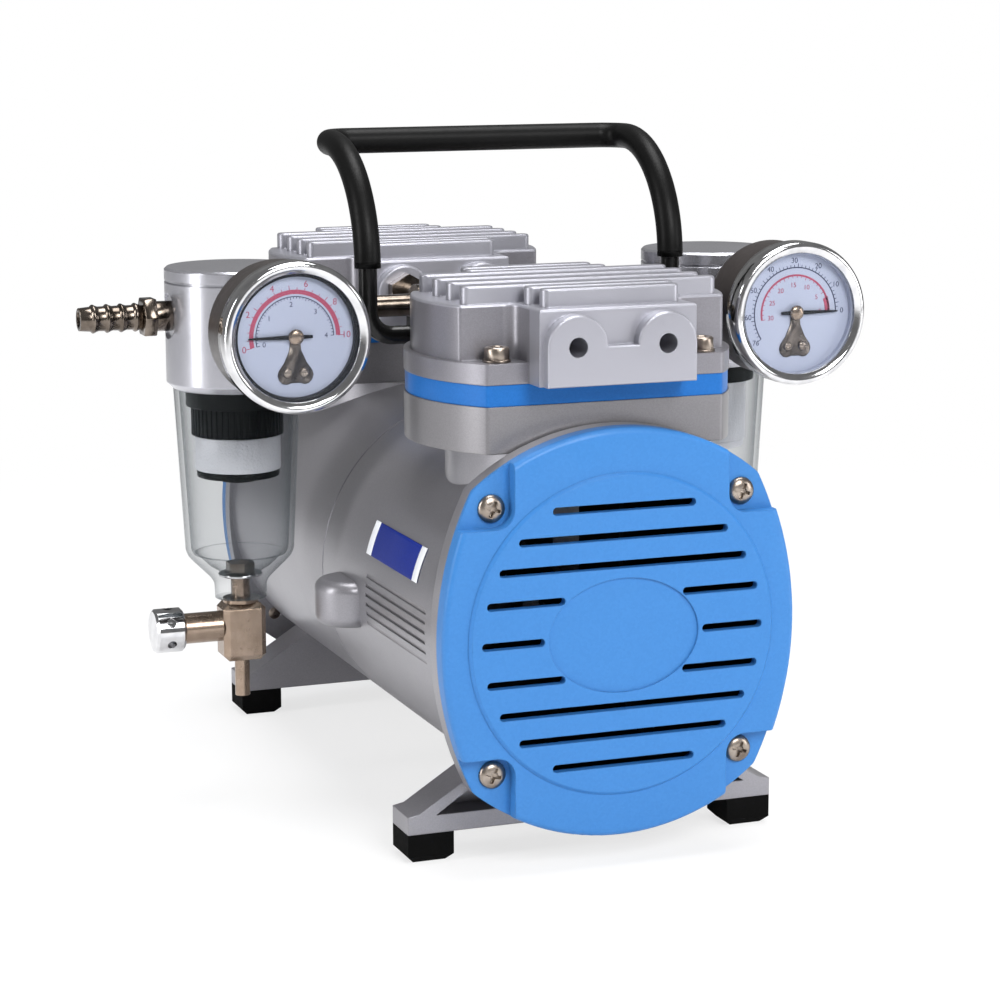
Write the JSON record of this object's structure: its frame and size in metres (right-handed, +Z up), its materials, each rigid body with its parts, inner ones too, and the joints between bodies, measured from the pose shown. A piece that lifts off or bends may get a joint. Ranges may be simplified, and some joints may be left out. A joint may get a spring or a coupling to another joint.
{
  "type": "vacuum pump",
  "caption": "Oil-less piston vacuum pump with two heads on a round motor housing, a slotted blue cover, filter bowls with gauges and drain valves, and a carry handle.",
  "frame": {"origin": "on the floor, below the middle of the pump", "axes": "+Z up, the shaft along Y, the front cover facing -Y, hose barbs along X"},
  "size_m": [0.3018, 0.279, 0.242],
  "materials": {
    "cast_silver": "silver painted casting, fine satin",
    "cover_blue": "light blue, satin gloss",
    "plate_blue": "blue anodised",
    "screw_steel": "nickel plated steel",
    "foot_rubber": "black, matt",
    "core_steel": "stacked electrical steel",
    "winding_copper": "varnished copper wire",
    "bearing_steel": "bright steel",
    "weight_iron": "plain casting",
    "fan_plastic": "black",
    "rod_alloy": "plain casting",
    "cup_seal": "brown filled PTFE",
    "handle_steel": "bright bar",
    "handle_black": "black sleeve, soft shine",
    "clamp_black": "black",
    "nickel": "nickel plated brass",
    "pipe_steel": "nickel plated pipe",
    "bowl_clear": "clear plastic bowl",
    "holder_black": "black",
    "element_white": "white sintered element",
    "valve_brass": "tan brass",
    "gauge_chrome": "polished chrome",
    "case_dark": "dark grey",
    "dial_face": "pale lavender",
    "gauge_glass": "clear",
    "pointer_black": "black",
    "box_black": "black, fine grain"
  },
  "bodies": {
    "pump": {"baffles": "holder_black", "cord_gland": "box_black", "cover_screws": "screw_steel", "drain_nuts": "nickel", "element_holders": "holder_black", "filter_elements": "element_white", "front_cover": "cover_blue", "front_cylinder": "cast_silver", "front_head": "cast_silver", "front_housing": "cast_silver", "front_valve_plate": "plate_blue", "gauge_movements": "valve_brass", "handle_clamps": "clamp_black", "handle_rod": "handle_steel", "handle_sleeve": "handle_black", "head_screws": "screw_steel", "left_bowl": "bowl_clear", "left_drain_valve": "valve_brass", "left_filter_head": "cast_silver", "left_gauge_bezel": "gauge_chrome", "left_gauge_case": "case_dark", "left_gauge_dial": "dial_face", "left_gauge_glass": "gauge_glass", "left_hose_barb": "nickel", "left_transfer_tube": "pipe_steel", "main_bearings": "bearing_steel", "rear_cover": "cover_blue", "rear_cylinder": "cast_silver", "rear_head": "cast_silver", "rear_housing": "cast_silver", "rear_valve_plate": "plate_blue", "right_bowl": "bowl_clear", "right_drain_valve": "valve_brass", "right_filter_head": "cast_silver", "right_gauge_bezel": "gauge_chrome", "right_gauge_case": "case_dark", "right_gauge_dial": "dial_face", "right_gauge_glass": "gauge_glass", "right_hose_barb": "nickel", "right_transfer_tube": "pipe_steel", "rubber_feet": "foot_rubber", "stator_core": "core_steel", "stator_windings": "winding_copper", "terminal_box": "box_black", "tube_nuts": "nickel"},
    "crank": {"shaft": "bearing_steel", "rotor_core": "core_steel", "eccentrics": "weight_iron", "cooling_fans": "fan_plastic"},
    "front_piston": {"front_rod": "rod_alloy", "front_cup": "cup_seal"},
    "rear_piston": {"rear_rod": "rod_alloy", "rear_cup": "cup_seal"},
    "left_pointer": {"left_gauge_pointer": "pointer_black"},
    "right_pointer": {"right_gauge_pointer": "pointer_black"},
    "left_knob": {"left_drain_knob": "nickel"},
    "right_knob": {"right_drain_knob": "nickel"},
    "rocker": {"switch_rocker": "box_black"}
  },
  "joints": [
    {"name": "shaft_spin", "type": "hinge", "parent": "pump", "child": "crank", "pos_m": [0, 0, 0.08], "axis": [0, 1, 0], "continuous": true},
    {"name": "front_rod_pin", "type": "hinge", "parent": "crank", "child": "front_piston", "pos_m": [0, -0.0873, 0.0855], "axis": [0, 1, 0], "continuous": true},
    {"name": "rear_rod_pin", "type": "hinge", "parent": "crank", "child": "rear_piston", "pos_m": [0, 0.0873, 0.0745], "axis": [0, 1, 0], "continuous": true},
    {"name": "left_pointer_turn", "type": "hinge", "parent": "pump", "child": "left_pointer", "pos_m": [-0.0936, -0.0764, 0.177], "axis": [0, 1, 0], "range_deg": [0, 180]},
    {"name": "right_pointer_turn", "type": "hinge", "parent": "pump", "child": "right_pointer", "pos_m": [0.0936, -0.0764, 0.177], "axis": [0, 1, 0], "range_deg": [-180, 0]},
    {"name": "left_knob_turn", "type": "hinge", "parent": "pump", "child": "left_knob", "pos_m": [-0.118, 0, 0.0617], "axis": [-1, 0, 0], "range_deg": [-360, 0]},
    {"name": "right_knob_turn", "type": "hinge", "parent": "pump", "child": "right_knob", "pos_m": [0.118, 0, 0.0617], "axis": [1, 0, 0], "range_deg": [-360, 0]},
    {"name": "rocker_tilt", "type": "hinge", "parent": "pump", "child": "rocker", "pos_m": [0.07, 0.033, 0.08], "axis": [0, 1, 0], "range_deg": [-14, 0]}
  ],
  "couplings": [
    {"joint": "front_rod_pin", "follows": "shaft_spin", "ratio": -1},
    {"joint": "rear_rod_pin", "follows": "shaft_spin", "ratio": -1}
  ]
}
